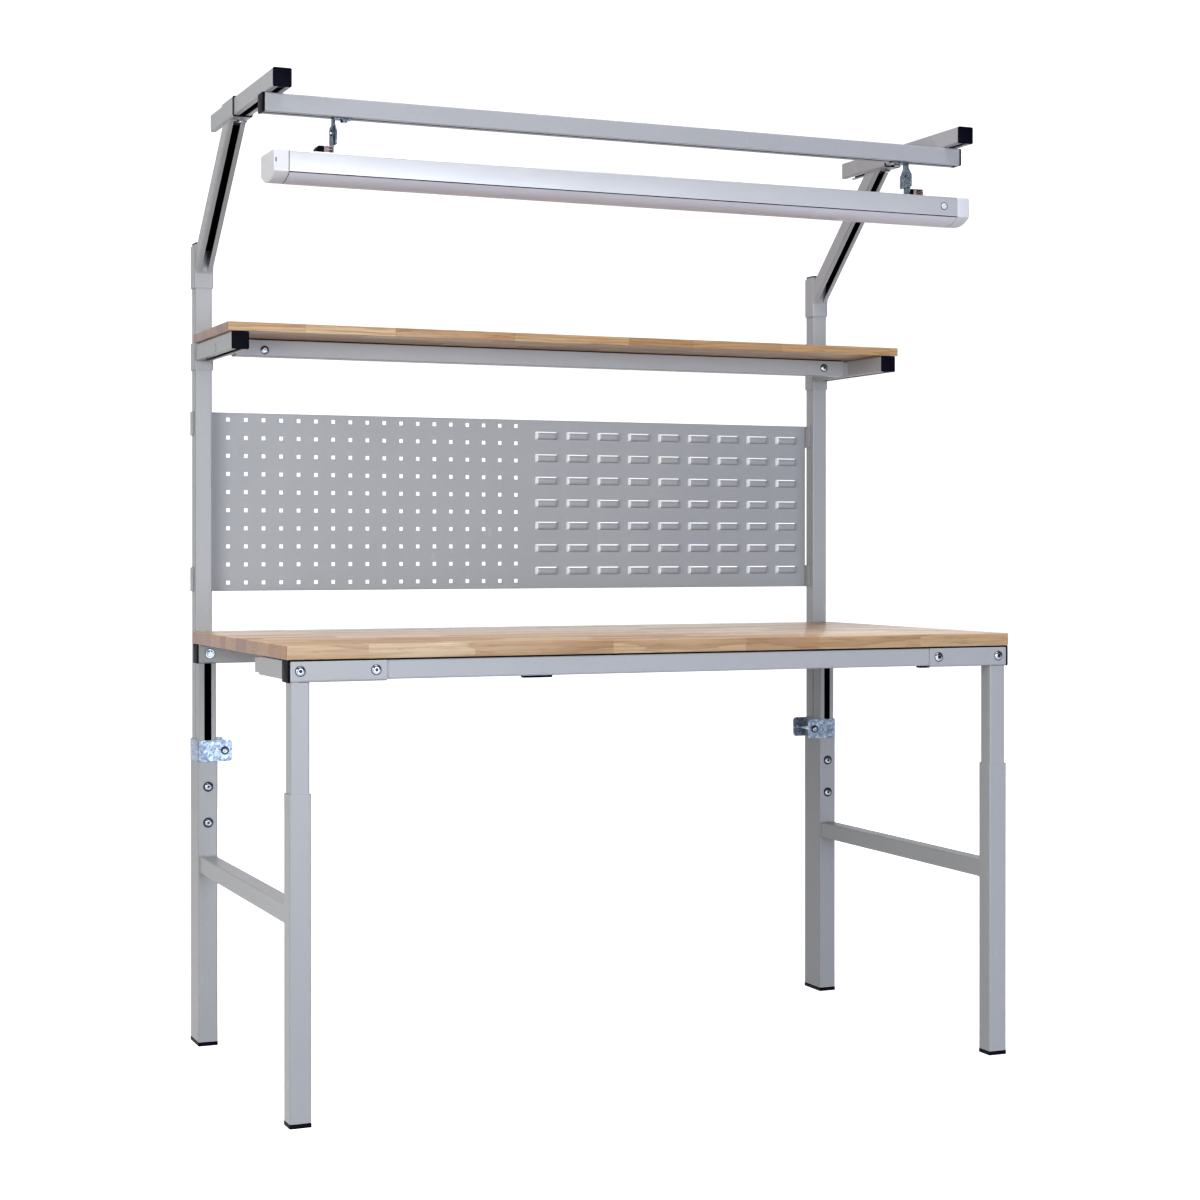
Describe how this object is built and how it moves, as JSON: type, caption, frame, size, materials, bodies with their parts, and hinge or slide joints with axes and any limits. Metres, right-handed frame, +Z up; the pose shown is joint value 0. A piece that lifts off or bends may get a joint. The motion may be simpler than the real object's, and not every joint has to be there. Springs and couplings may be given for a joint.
{
  "type": "workbench",
  "caption": "Height-adjustable workbench on slotted square tubes with a perforated and louvred tool panel, a shelf and a hanging strip lamp on reach bars.",
  "frame": {"origin": "on the floor, in the middle of the bench's width and depth", "axes": "+Z up, +X to the right of a person facing the bench from the front, so the front of the bench faces -Y"},
  "size_m": [1.5, 0.7966, 1.9],
  "materials": {
    "grey_paint": "light grey powder coat, satin",
    "panel_paint": "grey powder coat, satin",
    "black_plastic": "black moulded plastic",
    "zinc_plate": "zinc plated, spangled",
    "bright_steel": "bright plated steel",
    "hardwood": "finger-jointed hardwood, clear lacquer",
    "white_enamel": "white enamel",
    "white_plastic": "white moulded plastic",
    "lens_plastic": "opal lens, unlit",
    "tube_glass": "white fluorescent tube"
  },
  "bodies": {
    "stand": {"outer_leg_front_left": "grey_paint", "outer_leg_front_right": "grey_paint", "outer_leg_rear_left": "grey_paint", "outer_leg_rear_right": "grey_paint", "foot_front_left": "black_plastic", "foot_front_right": "black_plastic", "foot_rear_left": "black_plastic", "foot_rear_right": "black_plastic", "side_brace_left": "grey_paint", "side_brace_right": "grey_paint", "post_left": "grey_paint", "post_right": "grey_paint", "clamp_left": "zinc_plate", "clamp_right": "zinc_plate", "lock_bolt_upper_left": "bright_steel", "lock_bolt_upper_right": "bright_steel", "lock_bolt_lower_left": "bright_steel", "lock_bolt_lower_right": "bright_steel"},
    "bench": {"inner_leg_front_left": "grey_paint", "inner_leg_front_right": "grey_paint", "inner_leg_rear_left": "grey_paint", "inner_leg_rear_right": "grey_paint", "corner_bracket_front_left": "grey_paint", "corner_bracket_front_right": "grey_paint", "corner_bracket_rear_left": "grey_paint", "corner_bracket_rear_right": "grey_paint", "front_rail": "grey_paint", "rear_rail": "grey_paint", "rail_cap_left": "black_plastic", "rail_cap_right": "black_plastic", "worktop": "hardwood"},
    "panel": {"tool_panel": "panel_paint", "panel_bracket_upper_left": "grey_paint", "panel_bracket_upper_right": "grey_paint", "panel_bracket_lower_left": "grey_paint", "panel_bracket_lower_right": "grey_paint"},
    "shelf": {"shelf_carrier_left": "grey_paint", "shelf_carrier_right": "grey_paint", "shelf_cap_left": "black_plastic", "shelf_cap_right": "black_plastic", "shelf_rail": "grey_paint", "shelf_board": "hardwood"},
    "light_arms": {"light_arm_left": "grey_paint", "light_arm_right": "grey_paint"},
    "reach": {"reach_bar_left": "grey_paint", "reach_bar_right": "grey_paint", "reach_cap_left": "black_plastic", "reach_cap_right": "black_plastic", "light_rail": "grey_paint"},
    "hangers": {"hanger_left": "zinc_plate", "hanger_right": "zinc_plate"},
    "lamp": {"lamp_bracket_left": "zinc_plate", "lamp_bracket_right": "zinc_plate", "lamp_housing": "white_enamel", "lamp_diffuser": "lens_plastic", "lamp_cap_left": "white_plastic", "lamp_cap_right": "white_plastic", "lamp_gear_tray": "white_enamel", "lamp_tube": "tube_glass"}
  },
  "joints": [
    {"name": "worktop_height", "type": "slide", "parent": "stand", "child": "bench", "axis": [0, 0, 1], "range_m": [-0.15, 0.15]},
    {"name": "tool_panel_height", "type": "slide", "parent": "stand", "child": "panel", "axis": [0, 0, 1], "range_m": [-0.25, 0.08]},
    {"name": "shelf_height", "type": "slide", "parent": "stand", "child": "shelf", "axis": [0, 0, 1], "range_m": [-0.08, 0.1]},
    {"name": "light_height", "type": "slide", "parent": "stand", "child": "light_arms", "axis": [0, 0, 1], "range_m": [-0.1, 0]},
    {"name": "light_reach", "type": "slide", "parent": "light_arms", "child": "reach", "axis": [0, -1, 0], "range_m": [-0.15, 0.1]},
    {"name": "lamp_slide", "type": "slide", "parent": "reach", "child": "hangers", "axis": [1, 0, 0], "range_m": [-0.1, 0.1]},
    {"name": "lamp_tilt", "type": "hinge", "parent": "hangers", "child": "lamp", "pos_m": [0.0075, -0.20276, 1.7987], "axis": [1, 0, 0], "range_deg": [-45, 45]}
  ]
}
